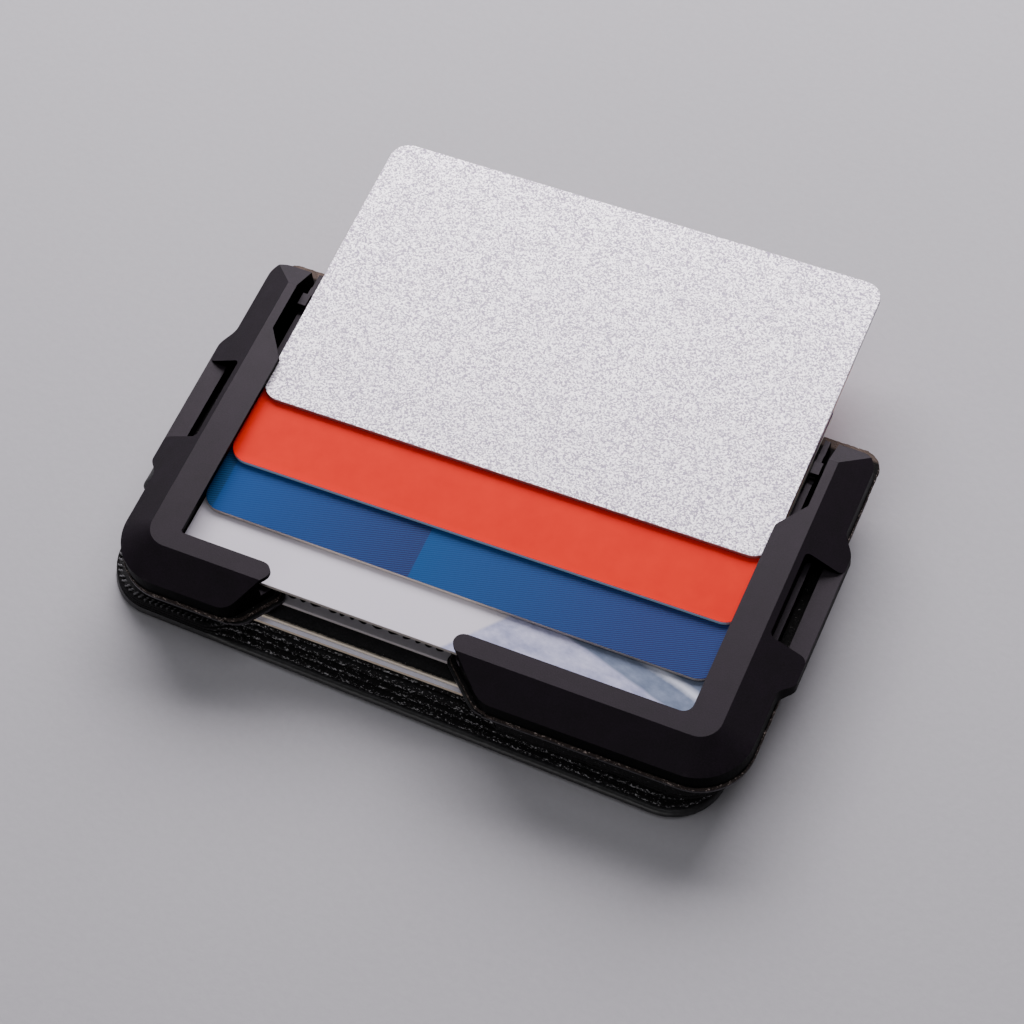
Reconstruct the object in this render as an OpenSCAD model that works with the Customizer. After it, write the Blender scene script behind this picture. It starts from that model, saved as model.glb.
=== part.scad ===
// Minimalist bifold card wallet: a machined U-frame clamped on a folded leather body.
// Origin: centre of the underside of the rear cover. +X across, +Y away from the thumb gap, +Z up.

/* [Cards] */
// Length of a card
card_l = 85.6; // [85.4:0.05:85.7]
// Width of a card
card_w = 53.98; // [53.9:0.01:54.05]
// Thickness of a card
card_t = 0.76; // [0.7:0.01:0.78]
// Corner radius of a card
card_r = 3.18; // [2.9:0.01:3.5]
// How far the silver card stands out of the bay
silver_out = 31.6; // [20.5:0.1:40]
// How far the red card stands out of the bay
red_out = 19.8; // [11:0.1:20]
// How far the blue card stands out of the bay
blue_out = 10.3; // [2:0.1:11]
// How far the white card stands out of the bay
white_out = 1.5; // [0.1:0.1:2]

/* [Frame] */
// Height of the frame
frame_h = 6.1; // [5.9:0.05:6.5]
// Width across the flat top of the frame
top_w = 94.3; // [94:0.1:95]
// Width across the frame's walls
wall_w = 104.3; // [104:0.1:105]
// Width across the ears
ear_w = 108.2; // [107.8:0.1:108.6]
// Width of the bay that the cards slide in
bay_w = 86.7; // [86.5:0.05:87]
// Width of the window in the bezel
bezel_w = 84.2; // [83.8:0.1:84.6]
// Slope of the outer chamfer in degrees
chamfer_angle = 30; // [28:0.5:31]

/* [Leather] */
// Thickness of the rear cover
cover_t = 1.6; // [1.2:0.05:1.6]
// Thickness of an inner leather layer
panel_t = 0.7; // [0.6:0.02:0.7]
// Thickness of the leather under the frame
mount_t = 1.0; // [0.9:0.05:1.1]
// Thickness of the clamp plate
plate_t = 0.5; // [0.4:0.05:0.6]
// Skew of the rear leaf under the frame in degrees
leaf_skew = 1.4; // [0.8:0.1:1.6]

/* [Hidden] */

$fn = 48;
tiny = 0.01;
far_cut = 80;

// Distances along Y are measured from the ridge, the near edge of the frame's flat top.
ridge_y = -24.5;
near_wall = -5.3;
far_wall = 56.3;
card_home = -0.3;
pocket_home = -2.2;
grey_out = 3.45;
upper_card_out = 1.1;
lower_card_out = 0.4;
card_skew = 0.59;

// Levels of the leather stack, from the table up.
air = 0.05;
lining_z = cover_t + air;
back_pocket_z = lining_z + panel_t + air;
front_pocket_z = back_pocket_z + panel_t + air;
upper_panel_z = 3.95;
lower_card_z = 4.72;
card_pitch = 0.8;
upper_card_z = lower_card_z + card_pitch + 0.02;
partition_z = 6.36;
grey_card_z = 7.14;
plate_z = 8.0;
mount_z = 8.5;
frame_z = 9.5;
top_z = frame_z + frame_h;

// Frame details.
ridge_r = 3.5;
wall_r = 8.6;
bezel_near = 3.15;
lip_t = 0.9;
bay_near = -0.4;
floor_t = 1.8;
floor_far = 47;
floor_gap = 8;
tab_end = 37.8;
tab_slant_end = 42.6;
arm_inner = 45.6;
slope = tan(chamfer_angle);
facet = 4.7;
window_near = 19.9;
window_far = 35.3;
window_in = 48.1;
ledge_out = 49.0;
bar_in = 50.9;
bar_drop = 4.0;
ledge_drop = 3.4;
window_r = 0.8;
ear_r = 1;
mount_inset = 1.1;
mount_far = 59;
plate_inset = 1.6;
finger_out = 44.25;
finger_drop = 2.8;
slit_near = 40.3;
nick_y = 48.5;
nick_r = 0.6;
finger_block = 49.4;
finger_step = 51.6;
finger_end = 53.4;

// Clamp screws: M2, two on each side.
screw_x = 46.4;
screw_ys = [8, 37];
screw_r = 0.98;
screw_hole_r = 1.0;
screw_depth = 3.4;
head_r = 1.8;
head_h = 0.8;
access_r = 2.1;

// Hinge of the spine: the axis runs along Y on the spine's outermost line.
hinge_x = -56.0;
hinge_z = 4.7;
spine_r = 4.65;
spine_t = 0.9;
spine_x = hinge_x + spine_r + 0.05;
spine_near = 13;
spine_far = 43;
spine_slit = 0.08;

// Front leaf: its inner layers are cut back in the gap and left of it.
front_left = -51.2;
front_right = 50.6;
front_far = 55.4;
front_near = -5.2;
front_cut_back = -3.2;
front_r = 6;
front_far_r = 4;

// Rear leaf, in its own skewed frame.
leaf_left = -55.4;
leaf_right = 48.6;
leaf_near = -6.45;
leaf_far = 55.6;
leaf_r = 8.5;
pocket_step = 2.85;

// Stitches.
stitch_l = 1.15;
stitch_w = 0.5;
stitch_h = 0.22;
stitch_pitch = 1.9;
groove_h = 0.26;
groove_w = 0.8;
seam_in = 1.6;
rear_seam_in = 2.3;
corner_in = 1.15;

// ---------- outlines ----------

function arc(centre, r, from, to, steps = 12) =
    [for (i = [0:steps]) let (a = from + (to - from) * i / steps) centre + r * [cos(a), sin(a)]];

function mirrored(points) = [for (i = [len(points) - 1:-1:0]) [-points[i][0], points[i][1]]];

// An S-curve in x from x0 to x1 as y runs from y0 to y1.
function s_side(x0, x1, y0, y1, steps = 10) =
    [for (i = [0:steps]) let (t = i / steps) [x0 + (x1 - x0) * (1 - cos(180 * t)) / 2, y0 + (y1 - y0) * t]];

// An S-curve in y from y0 to y1 as x runs from x0 to x1.
function s_front(x0, x1, y0, y1, steps = 8) =
    [for (i = [0:steps]) let (t = i / steps) [x0 + (x1 - x0) * t, y0 + (y1 - y0) * (1 - cos(180 * t)) / 2]];

// A rectangle with one radius at its near corners and another at its far corners.
function rounded(x0, x1, y0, y1, near_r, far_r) = concat(
    arc([x0 + near_r, y0 + near_r], near_r, 180, 270),
    arc([x1 - near_r, y0 + near_r], near_r, 270, 360),
    arc([x1 - far_r, y1 - far_r], far_r, 0, 90),
    arc([x0 + far_r, y1 - far_r], far_r, 90, 180));

// Right half of the frame's outline, ears included, from the near middle to the far middle.
frame_half = concat(
    arc([wall_w / 2 - wall_r, near_wall + wall_r], wall_r, -90, 0, 16),
    s_side(wall_w / 2, ear_w / 2, 12.2, 15.6),
    s_side(ear_w / 2, wall_w / 2, 38.4, 42.2),
    arc([wall_w / 2 - 3, far_wall - 3], 3, 0, 90));

// The same without ears, grown outwards, for the leather and the plate under the frame.
function plain_half(grow, far, far_r) = concat(
    arc([wall_w / 2 - wall_r, near_wall + wall_r], wall_r + grow, -90, 0, 16),
    arc([wall_w / 2 + grow - far_r, far - far_r], far_r, 0, 90));

// Centre of the round of radius r between the near wall and the flank of a lip.
// The flank touches the round of radius tip_r about tip, and turn is the flank's outward direction.
function lip_foot(tip, tip_r, turn, r) =
    let (rise = near_wall + r - tip[1])
    [tip[0] + (tip_r - r - rise * sin(turn)) / cos(turn), near_wall + r];

// The thumb gap between two rounded lip ends that flare towards the near edge.
// inset moves both lips into the gap, depth is how far the gap reaches inwards.
module thumb_gap(inset, depth) {
    tip_r = 1.5;
    left_r = 3.5;
    right_r = 4.6;
    left_turn = -35;
    right_turn = 228;
    left_tip = [-27.6 + inset, 1.6];
    right_tip = [6.3 - inset, 1.6];
    left_foot = lip_foot(left_tip, tip_r, left_turn, left_r);
    right_foot = lip_foot(right_tip, tip_r, right_turn, right_r);
    polygon(concat(
        [[left_tip[0] - 0.4, depth]],
        arc(left_tip, tip_r, 90, left_turn, 8),
        arc(left_foot, left_r, left_turn, -90, 8),
        [[left_foot[0], near_wall - 4], [right_foot[0], near_wall - 4]],
        arc(right_foot, right_r, 270, right_turn, 8),
        arc(right_tip, tip_r, right_turn, 90, 8),
        [[right_tip[0] + 0.4, depth]]));
}

// ---------- helpers ----------

module at_ridge() {
    translate([0, ridge_y, 0]) children();
}

// A flat layer of thickness t on level z.
module layer(points, z, t) {
    translate([0, 0, z]) linear_extrude(t) polygon(points);
}

module box(x0, x1, y0, y1, z0, z1) {
    translate([x0, y0, z0]) cube([x1 - x0, y1 - y0, z1 - z0]);
}

module both_sides() {
    children();
    mirror([1, 0, 0]) children();
}

module screw_sites() {
    both_sides() for (y = screw_ys) translate([screw_x, y, 0]) children();
}

// Clearance through the leather and the plate for the screws' shanks or heads.
module screw_holes(r, z, t) {
    screw_sites() translate([0, 0, z - 1]) cylinder(h = t + 2, r = r);
}

// ---------- frame ----------

// All that lies below the chamfer planes: straight flanks and conical near corners.
module chamfer_body() {
    drop = frame_h + 1;
    run = drop / slope;
    half_top = top_w / 2;
    corner_x = half_top - ridge_r;
    flank = [[half_top, 0], [half_top + run, -drop]];
    translate([0, 0, top_z]) {
        both_sides() translate([corner_x, ridge_r, -drop])
            cylinder(h = drop, r1 = ridge_r + run, r2 = ridge_r, $fn = 96);
        translate([0, far_cut, 0]) rotate([90, 0, 0]) linear_extrude(far_cut - ridge_r)
            polygon(concat(flank, mirrored(flank)));
        translate([-corner_x, 0, 0]) rotate([90, 0, 90]) linear_extrude(2 * corner_x)
            polygon([[ridge_r + 1, 0], [0, 0], [-run, -drop], [ridge_r + 1, -drop]]);
    }
}

module far_facet_cut() {
    translate([-far_cut, far_wall - facet, top_z]) rotate([-chamfer_angle, 0, 0])
        cube([2 * far_cut, 12, 12]);
}

// The card bay, open below at its far end, and the window in the bezel with its slanted tabs.
module bay_cut() {
    half_bay = bay_w / 2;
    half_bezel = bezel_w / 2;
    tab = concat(
        arc([half_bezel + 0.8, tab_end - 0.3], 0.8, 180, 144, 4),
        [[arm_inner, tab_slant_end], [arm_inner, far_cut]]);
    box(-half_bay, half_bay, bay_near, far_cut, frame_z + floor_t, top_z - lip_t);
    box(-half_bay, half_bay, floor_far, far_cut, frame_z - 1, top_z - lip_t);
    layer(concat(
        arc([-half_bezel + 0.5, bezel_near + 0.5], 0.5, 180, 270, 6),
        arc([half_bezel - 1.6, bezel_near + 1.6], 1.6, 270, 360, 6),
        tab, mirrored(tab)), top_z - finger_drop, frame_h);
}

// Slits that free a springy finger at the far end of each bay wall, and a nick in its top.
module finger_cuts() {
    slit_r = (arm_inner - finger_out) / 2;
    slit_x = finger_out + slit_r;
    slit_y = slit_near + slit_r;
    both_sides() {
        translate([slit_x, slit_y, frame_z - 1]) cylinder(h = frame_h - lip_t + 1, r = slit_r);
        box(finger_out, arm_inner, slit_y, far_cut, frame_z - 1, top_z - lip_t);
        translate([bay_w / 2 - 1, nick_y, top_z - finger_drop]) rotate([0, 90, 0])
            cylinder(h = finger_out - bay_w / 2 + 2, r = nick_r);
    }
}

// Raised blocks on the fingers' ends.
module finger_ends() {
    both_sides() {
        box(bay_w / 2, finger_out + 0.5, finger_block, finger_step, frame_z, top_z - 1.8);
        box(bay_w / 2, finger_out, finger_step, finger_end, frame_z, top_z - 2.4);
    }
}

// The space over the sunken bar; the ear's corners on both sides of it are rounded.
bar_space = concat(
    [[bar_in - 1, window_far]],
    arc([ear_w / 2 - ear_r, window_far + ear_r], ear_r, 270, 360, 6),
    [[far_cut, window_far + ear_r], [far_cut, window_near - ear_r]],
    arc([ear_w / 2 - ear_r, window_near - ear_r], ear_r, 0, 90, 6),
    [[bar_in - 1, window_near]]);

// Strap windows: an open slot, a ledge on its inner side and a sunken bar outside.
module window_cuts() {
    corner_x = window_in + window_r;
    both_sides() {
        layer(concat(
            arc([corner_x, window_near + window_r], window_r, 180, 270, 6),
            [[bar_in, window_near], [bar_in, window_far]],
            arc([corner_x, window_far - window_r], window_r, 90, 180, 6)),
            top_z - ledge_drop, frame_h);
        layer(bar_space, top_z - bar_drop, bar_drop + 1);
        box(ledge_out, bar_in, window_near, window_far, frame_z - 1, top_z);
    }
}

module chassis_frame() {
    color([0.13, 0.12, 0.13]) at_ridge() {
        difference() {
            intersection() {
                layer(concat(frame_half, mirrored(frame_half)), frame_z, frame_h);
                chamfer_body();
            }
            far_facet_cut();
            bay_cut();
            finger_cuts();
            window_cuts();
            translate([0, 0, frame_z - 1]) linear_extrude(frame_h + 2) thumb_gap(0, floor_gap);
            screw_sites() translate([0, 0, frame_z - 1])
                cylinder(h = screw_depth + 1, r = screw_hole_r);
        }
        finger_ends();
    }
}

// ---------- front leaf ----------

// The strip on the left that the spine takes from every leather layer.
module spine_strip(z, t) {
    box(-far_cut, spine_x, spine_near, spine_far, z - 1, z + t + 1);
}

module clamp_plate() {
    outline = plain_half(0.2, 54, 3);
    half_open = bay_w / 2 - 4;
    color([0.1, 0.1, 0.11]) at_ridge() difference() {
        layer(concat(outline, mirrored(outline)), plate_z, plate_t);
        translate([0, 0, plate_z - 1]) linear_extrude(plate_t + 2) thumb_gap(plate_inset, 7);
        box(-half_open, half_open, 14, far_cut, plate_z - 1, plate_z + 2);
        spine_strip(plate_z, plate_t);
        screw_holes(screw_hole_r, plate_z, plate_t);
    }
}

module clamp_screws() {
    color([0.32, 0.32, 0.34]) at_ridge() screw_sites() difference() {
        union() {
            translate([0, 0, plate_z - head_h]) cylinder(h = head_h, r = head_r);
            translate([0, 0, plate_z - tiny])
                cylinder(h = frame_z - plate_z + screw_depth - 0.3, r = screw_r);
        }
        translate([0, 0, plate_z - head_h - tiny]) cylinder(h = 0.5, r = 0.8, $fn = 6);
    }
}

module mount_leather() {
    outline = plain_half(0.3, mount_far, 3.3);
    color([0.2, 0.15, 0.13]) at_ridge() difference() {
        layer(concat(outline, mirrored(outline)), mount_z, mount_t);
        translate([0, 0, mount_z - 1]) linear_extrude(mount_t + 2) thumb_gap(mount_inset, 6);
        spine_strip(mount_z, mount_t);
        screw_holes(screw_hole_r, mount_z, mount_t);
    }
}

// Outline of the front leaf's inner layers; gap_near is where their near edge lies in the gap.
function front_outline(gap_near) = concat(
    arc([front_left + front_r, front_cut_back + front_r], front_r, 180, 270),
    s_front(-31, -28, front_cut_back, gap_near, 4),
    s_front(11, 14, gap_near, front_near, 4),
    arc([front_right - wall_r, front_near + wall_r], wall_r, 270, 360),
    arc([front_right - front_far_r, front_far - front_far_r], front_far_r, 0, 90),
    arc([front_left + front_far_r, front_far - front_far_r], front_far_r, 90, 180));

module front_layer(gap_near, z, t) {
    difference() {
        layer(front_outline(gap_near), z, t);
        spine_strip(z, t);
        screw_holes(access_r, z, t);
    }
}

module pocket_partition() {
    color([0.1, 0.1, 0.1]) at_ridge() front_layer(-0.97, partition_z, panel_t);
}

// Strips round three sides of the pocket, between two leather layers.
module spacer_ring(z, t) {
    half_slot = card_l / 2 + 0.5;
    difference() {
        front_layer(0.5, z, t);
        box(-half_slot, half_slot, pocket_home - 0.1, far_cut, z - 1, z + t + 1);
        box(-30, 13, near_wall, far_cut, z - 1, z + t + 1);
    }
}

module pocket_spacers() {
    upper_panel_top = upper_panel_z + panel_t;
    partition_top = partition_z + panel_t;
    color([0.12, 0.11, 0.11]) at_ridge() {
        spacer_ring(upper_panel_top, partition_z - upper_panel_top);
        spacer_ring(partition_top, plate_z - partition_top);
    }
}

module upper_panel() {
    color([0.09, 0.09, 0.09]) at_ridge() difference() {
        front_layer(-2.3, upper_panel_z, panel_t);
        for (seam = front_seams) seam_groove(seam, upper_panel_z - tiny);
    }
}

// ---------- seams ----------

// Each seam is a chain of points; every stretch between two of them gets a row of stitches.
front_seams = [
    concat([[17, front_near + seam_in]],
        arc([front_right - wall_r, front_near + wall_r], wall_r - seam_in, 270, 360, 3),
        [[front_right - seam_in, 52]]),
    [[-45.8, 12], [-45.8, 33]]];

rear_seam = concat(
    arc([leaf_left + leaf_r, leaf_near + leaf_r], leaf_r - corner_in, 190, 270, 5),
    [[-37, leaf_near + corner_in], [-30, leaf_near + pocket_step + rear_seam_in]],
    arc([leaf_right - leaf_r - 1.4, leaf_near + pocket_step + leaf_r], leaf_r - rear_seam_in, 270, 360, 3),
    arc([leaf_right - leaf_r - 1.4, leaf_far - leaf_r - 1], leaf_r - rear_seam_in, 0, 90, 3),
    arc([leaf_left + leaf_r + 0.4, leaf_far - leaf_r - 1], leaf_r - rear_seam_in, 90, 130, 2));

module along(p, q) {
    translate([p[0], p[1], 0]) rotate([0, 0, atan2(q[1] - p[1], q[0] - p[0])]) children();
}

module stitches(seam, z) {
    for (i = [1:len(seam) - 1]) {
        span = norm(seam[i] - seam[i - 1]);
        count = max(1, round(span / stitch_pitch));
        along(seam[i - 1], seam[i]) for (k = [0:count - 1])
            translate([span * (k + 0.5) / count - stitch_l / 2, -stitch_w / 2, z])
                cube([stitch_l, stitch_w, stitch_h]);
    }
}

module seam_groove(seam, z) {
    translate([0, 0, z]) linear_extrude(groove_h) for (i = [1:len(seam) - 1])
        along(seam[i - 1], seam[i]) translate([-groove_w / 3, -groove_w / 2])
            square([norm(seam[i] - seam[i - 1]) + groove_w * 2 / 3, groove_w]);
}

module panel_stitching() {
    color([0.17, 0.16, 0.17]) at_ridge()
        for (seam = front_seams) stitches(seam, upper_panel_z + air / 2);
}

module leaf_stitching() {
    color([0.17, 0.16, 0.17]) at_ridge() rotate([0, 0, -leaf_skew])
        stitches(rear_seam, front_pocket_z + panel_t - stitch_h - air / 2);
}

// ---------- spine ----------

// A quarter of the spine's round fold; side is 1 above the hinge line and -1 below it.
module spine_quarter(side) {
    at_ridge() translate([spine_x, spine_far, hinge_z]) rotate([90, 0, 0])
        linear_extrude(spine_far - spine_near) intersection() {
            difference() {
                circle(spine_r);
                circle(spine_r - spine_t);
            }
            mirror([0, side > 0 ? 0 : 1]) translate([-2 * spine_r, spine_slit])
                square([2 * spine_r, 2 * spine_r]);
        }
}

module spine_front() {
    color([0.07, 0.07, 0.07]) spine_quarter(1);
}

module spine_rear() {
    color([0.07, 0.07, 0.07]) spine_quarter(-1);
}

// ---------- rear leaf ----------

// Outline of a rear leaf layer: flush at the near left corner, then stepped in by near_step.
function rear_outline(inset, near_step) = concat(
    arc([leaf_left + leaf_r, leaf_near + leaf_r], leaf_r - inset, 180, 270),
    s_front(-36, -31, leaf_near + inset, leaf_near + near_step, 6),
    arc([leaf_right - leaf_r, leaf_near + leaf_r + near_step - inset], leaf_r - inset, 270, 360),
    arc([leaf_right - leaf_r, leaf_far - leaf_r], leaf_r - inset, 0, 90),
    arc([leaf_left + leaf_r, leaf_far - leaf_r], leaf_r - inset, 90, 180));

module rear_layer(inset, near_step, z, t) {
    difference() {
        rotate([0, 0, -leaf_skew]) layer(rear_outline(inset, near_step), z, t);
        spine_strip(z, t);
    }
}

module back_cover() {
    color([0.08, 0.08, 0.08]) at_ridge() rear_layer(0, 0, 0, cover_t);
}

module leaf_lining() {
    color([0.1, 0.1, 0.1]) at_ridge() rear_layer(0.45, 1, lining_z, panel_t);
}

module back_pocket() {
    color([0.11, 0.11, 0.11]) at_ridge() rear_layer(0.5, 1.95, back_pocket_z, panel_t);
}

module front_pocket() {
    color([0.1, 0.1, 0.1]) at_ridge() difference() {
        rear_layer(0.55, pocket_step, front_pocket_z, panel_t);
        rotate([0, 0, -leaf_skew]) seam_groove(rear_seam, front_pocket_z + panel_t - groove_h + tiny);
    }
}

// ---------- cards ----------

// A card with its near edge at near, turned by skew about its centre.
module card(near, skew, z) {
    at_ridge() translate([0, near + card_w / 2, 0]) rotate([0, 0, skew])
        layer(rounded(-card_l / 2, card_l / 2, -card_w / 2, card_w / 2, card_r, card_r), z, card_t);
}

// Cards in the bay are counted from the top.
function bay_card_z(place) = top_z - lip_t - 0.1 - card_t - place * card_pitch;

module silver_card() {
    color([0.78, 0.77, 0.8]) card(card_home + silver_out, card_skew, bay_card_z(0));
}

module red_card() {
    color([0.92, 0.31, 0.24]) card(card_home + red_out, card_skew, bay_card_z(1));
}

module blue_card() {
    color([0.12, 0.3, 0.55]) card(card_home + blue_out, 0, bay_card_z(2));
}

module white_card() {
    color([0.88, 0.88, 0.9]) card(card_home + white_out, 0, bay_card_z(3));
}

module grey_card() {
    color([0.45, 0.43, 0.45]) card(pocket_home + grey_out, 0, grey_card_z);
}

module pocket_card_upper() {
    color([0.83, 0.78, 0.72]) card(pocket_home + upper_card_out, 0, upper_card_z);
}

module pocket_card_lower() {
    color([0.8, 0.81, 0.88]) card(pocket_home + lower_card_out, 0, lower_card_z);
}

chassis_frame();
clamp_plate();
clamp_screws();
mount_leather();
pocket_spacers();
pocket_partition();
upper_panel();
panel_stitching();
spine_front();
silver_card();
red_card();
blue_card();
white_card();
grey_card();
pocket_card_upper();
pocket_card_lower();
spine_rear();
back_cover();
leaf_lining();
back_pocket();
front_pocket();
leaf_stitching();
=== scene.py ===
"""Looks of a bifold card wallet: a black metal frame on a stack of cut leather, with fanned cards.

Lengths are in millimetres until they are made into Blender's metres with MM or mm().
"""

import math
from functools import partial

import bmesh
import bpy
import numpy as np
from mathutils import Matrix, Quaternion, Vector, geometry, noise


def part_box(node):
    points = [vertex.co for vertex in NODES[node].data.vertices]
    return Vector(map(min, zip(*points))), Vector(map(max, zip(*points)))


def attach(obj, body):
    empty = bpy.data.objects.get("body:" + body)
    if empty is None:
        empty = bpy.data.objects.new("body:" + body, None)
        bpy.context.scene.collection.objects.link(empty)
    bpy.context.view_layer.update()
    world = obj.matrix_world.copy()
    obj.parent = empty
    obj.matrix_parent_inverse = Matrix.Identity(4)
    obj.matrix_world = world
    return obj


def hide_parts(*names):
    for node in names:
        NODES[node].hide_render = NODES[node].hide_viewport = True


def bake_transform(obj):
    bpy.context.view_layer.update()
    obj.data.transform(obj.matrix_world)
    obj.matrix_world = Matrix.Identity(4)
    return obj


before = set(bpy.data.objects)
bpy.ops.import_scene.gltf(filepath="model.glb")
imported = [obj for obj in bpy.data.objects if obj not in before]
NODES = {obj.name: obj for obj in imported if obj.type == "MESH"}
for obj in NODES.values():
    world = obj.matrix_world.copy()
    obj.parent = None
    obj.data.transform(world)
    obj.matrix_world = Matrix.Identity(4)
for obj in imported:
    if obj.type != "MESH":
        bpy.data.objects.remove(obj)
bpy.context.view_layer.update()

MM = 0.001
# Vertices closer than this many metres are one.
WELD = 2e-6
# A wave texture's bands are this far apart at scale 1.
BAND = math.pi / 10


def mm(*values):
    """A point given in millimetres, in metres."""
    return Vector(values) * MM


# ---------- materials ----------


class Paint:
    """A node material. add() makes a node whose inputs take values or other nodes' outputs."""

    def __init__(self, name, colour, **fixed):
        self.material = bpy.data.materials.new(name)
        self.material.use_nodes = True
        self.tree = self.material.node_tree
        self.shader = self.tree.nodes["Principled BSDF"]
        self.shader.inputs["Base Color"].default_value = (*colour, 1)
        for socket, value in fixed.items():
            self.shader.inputs[socket.replace("_", " ")].default_value = value

    def add(self, kind, inputs, output=0, **settings):
        made = self.tree.nodes.new("ShaderNode" + kind)
        for key, value in settings.items():
            setattr(made, key, value)
        for key, value in inputs.items():
            if isinstance(value, bpy.types.NodeSocket):
                self.tree.links.new(value, made.inputs[key])
            else:
                made.inputs[key].default_value = value
        return made.outputs[output]

    def link(self, socket, value):
        self.tree.links.new(value, self.shader.inputs[socket])

    def where(self, stretch=(1, 1, 1), turn=0):
        """The row frame's own coordinates, stretched and turned about Z by some degrees."""
        place = self.add("TexCoord", {}, "Object")
        return self.add(
            "Mapping",
            {"Vector": place, "Scale": stretch, "Rotation": (0, 0, math.radians(turn))},
        )

    def axis(self, letter):
        """One of the row frame's coordinates, in millimetres."""
        parts = self.add("SeparateXYZ", {0: self.add("TexCoord", {}, "Object")}, letter)
        return self.maths("MULTIPLY", parts, 1 / MM)

    def facing(self, letter):
        """How far the surface faces along one of the row frame's axes, -1 to 1."""
        return self.add("SeparateXYZ", {0: self.add("TexCoord", {}, "Normal")}, letter)

    def sideways(self):
        """1 on a piece's edges and 0 on its flat faces."""
        return self.ramp(self.maths("ABSOLUTE", self.facing("Z")), 0.45, 0.75, 1, 0)

    def maths(self, operation, a, b=0.0):
        return self.add("Math", {0: a, 1: b}, operation=operation)

    def product(self, first, *others):
        """Several values multiplied together."""
        for other in others:
            first = self.maths("MULTIPLY", first, other)
        return first

    def sum_of(self, a, share_a, b, share_b):
        """Two values, each times its own share, added together."""
        return self.maths("ADD", self.maths("MULTIPLY", a, share_a), self.maths("MULTIPLY", b, share_b))

    def grain(self, size, detail=2.0, rough=0.5, stretch=(1, 1, 1), turn=0):
        """Noise whose features are about size millimetres across."""
        inputs = {
            "Vector": self.where(stretch, turn),
            "Scale": 1 / (size * MM),
            "Detail": detail,
            "Roughness": rough,
        }
        return self.add("TexNoise", inputs)

    def cells(self, size, feature="F1", output="Distance"):
        """Cells about size millimetres across."""
        inputs = {"Vector": self.where(), "Scale": 1 / (size * MM)}
        return self.add("TexVoronoi", inputs, output, feature=feature)

    def ramp(self, value, low, high, a=0.0, b=1.0):
        """value mapped from low..high to a..b, and held beyond them."""
        inputs = {0: value, 1: low, 2: high, 3: a, 4: b}
        return self.add("MapRange", inputs, clamp=True)

    def mix(self, share, a, b):
        """The colour a where share is 0 and b where it is 1."""
        a, b = (c if isinstance(c, bpy.types.NodeSocket) else (*c, 1) for c in (a, b))
        return self.add("Mix", {0: share, 6: a, 7: b}, 2, data_type="RGBA")

    def bump(self, height, depth, strength=1.0):
        """Relief depth millimetres deep."""
        inputs = {"Height": height, "Distance": depth * MM, "Strength": strength}
        self.link("Normal", self.add("Bump", inputs))


def anodised():
    """Bead-blasted black metal, with upright walls painted near black as painted shade, which also shine
    less than its flat faces.
    """
    paint = Paint("black_anodised", (0.008, 0.008, 0.008), Specular_Tint=(1.0, 0.9, 1.0, 1.0))
    fine = paint.grain(0.22, 3, 0.7)
    cloudy = paint.grain(3.5, 3)
    shade = paint.sum_of(fine, 0.7, cloudy, 0.3)
    face = paint.mix(paint.ramp(shade, 0.35, 0.7), (0.003, 0.0025, 0.003), (0.014, 0.009, 0.015))
    # Painted shade: the upright walls are painted near black.
    paint.link("Base Color", paint.mix(paint.sideways(), face, (0.001, 0.001, 0.001)))
    paint.link("Roughness", paint.ramp(shade, 0.3, 0.7, 0.5, 0.38))
    paint.link("Specular IOR Level", paint.ramp(paint.sideways(), 0, 1, 0.25, 0.02))
    paint.bump(fine, 0.02, 0.6)
    return paint.material


def plate_metal():
    """Black plate with a bare, brighter cut rim."""
    paint = Paint("plate_black", (0.03, 0.03, 0.03), Metallic=0.7)
    fine = paint.grain(0.3, 3)
    rim = paint.mix(paint.ramp(fine, 0.3, 0.7), (0.04, 0.036, 0.04), (0.09, 0.08, 0.09))
    face = paint.mix(fine, (0.015, 0.015, 0.016), (0.04, 0.04, 0.042))
    paint.link("Base Color", paint.mix(paint.sideways(), face, rim))
    paint.link("Roughness", paint.ramp(fine, 0.2, 0.8, 0.28, 0.42))
    paint.bump(fine, 0.01, 0.4)
    return paint.material


def screw_metal():
    """Turned steel with a dark zinc tone."""
    paint = Paint("screw_steel", (0.3, 0.3, 0.32), Metallic=1.0)
    turned = paint.grain(0.15, 3, 0.6, (1, 1, 0.2))
    paint.link("Base Color", paint.mix(turned, (0.16, 0.16, 0.17), (0.38, 0.38, 0.4)))
    paint.link("Roughness", paint.ramp(turned, 0.2, 0.8, 0.3, 0.5))
    return paint.material


def hide(name, dark, light, rough_low, rough_high, grain_size=0.55, gloss=0.25, rough_margin=None):
    """Grained leather: small plates with soft valleys between, and a faint cloudiness.

    rough_margin is the Y below which pale fibres show on the face, beside a raw edge.
    """
    paint = Paint(name, dark, Specular_IOR_Level=gloss)
    plates = paint.cells(grain_size, "DISTANCE_TO_EDGE")
    valleys = paint.ramp(plates, 0.0, 0.22)
    cloudy = paint.grain(6, 4, 0.6)
    fine = paint.grain(0.16, 3, 0.6)
    tone = paint.maths("MULTIPLY", valleys, paint.ramp(cloudy, 0.3, 0.7, 0.55, 1.0))
    face = paint.mix(tone, dark, light)
    if rough_margin is not None:
        near = paint.ramp(paint.axis("Y"), rough_margin - 0.3, rough_margin, 1, 0)
        raw = paint.ramp(paint.axis("X"), BURNISH_END, RAW_START)
        fibres = paint.ramp(paint.grain(0.26, 2, 0.7, (0.6, 1, 1)), 0.6, 0.7)
        face = paint.mix(paint.product(near, raw, fibres), face, RAW_BRIGHT)
    paint.link("Base Color", face)
    uneven = paint.maths("ADD", fine, cloudy)
    paint.link("Roughness", paint.ramp(uneven, 0.7, 1.3, rough_low, rough_high))
    relief = paint.maths("ADD", valleys, paint.maths("MULTIPLY", fine, 0.5))
    paint.bump(relief, 0.035, 0.7)
    return paint.material


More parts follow.
